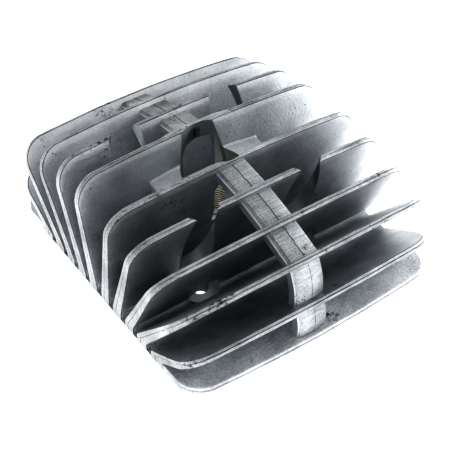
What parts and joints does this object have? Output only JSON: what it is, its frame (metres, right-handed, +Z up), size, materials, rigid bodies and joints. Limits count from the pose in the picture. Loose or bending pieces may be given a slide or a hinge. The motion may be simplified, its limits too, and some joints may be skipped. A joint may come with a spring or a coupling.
{
  "type": "cylinder head",
  "caption": "Air-cooled two-stroke cylinder head: a fan of tapered cooling fins joined by tie bars, with a threaded plug bore, stud clearances and a domed chamber.",
  "frame": {"origin": "centre of the casting on the gasket plane", "axes": "+X along the fins, +Y to the rear, +Z up out of the gasket face toward the fin rims"},
  "size_m": [0.124, 0.1476, 0.0565],
  "materials": {
    "cast_alloy": "as-cast, fine grain",
    "machined_alloy": "machined",
    "thread_insert": "dull bronze, machined thread"
  },
  "bodies": {
    "root": {"deck_plate": "cast_alloy", "combustion_chamber": "machined_alloy", "plug_boss": "machined_alloy", "plug_thread_insert": "thread_insert", "stud_seat_front_left": "machined_alloy", "stud_seat_front_right": "machined_alloy", "stud_seat_rear_left": "machined_alloy", "stud_seat_rear_right": "machined_alloy", "fin_rear_1": "cast_alloy", "fin_rear_2": "cast_alloy", "fin_rear_3": "cast_alloy", "fin_rear_4": "cast_alloy", "fin_rear_5": "cast_alloy", "fin_rear_6": "cast_alloy", "fin_front_1": "cast_alloy", "fin_front_2": "cast_alloy", "fin_front_3": "cast_alloy", "fin_front_4": "cast_alloy", "fin_front_5": "cast_alloy", "fin_front_6": "cast_alloy", "centre_web_left": "cast_alloy", "centre_web_right": "cast_alloy", "tie_bar_rear_6_to_5": "cast_alloy", "tie_bar_rear_5_to_4": "cast_alloy", "tie_bar_rear_4_to_3": "cast_alloy", "tie_bar_rear_3_to_2": "cast_alloy", "tie_bar_rear_2_to_1": "cast_alloy", "tie_bar_front_6_to_5": "cast_alloy", "tie_bar_front_5_to_4": "cast_alloy", "tie_bar_front_4_to_3": "cast_alloy", "tie_bar_front_3_to_2": "cast_alloy", "tie_bar_front_2_to_1": "cast_alloy"}
  },
  "joints": []
}
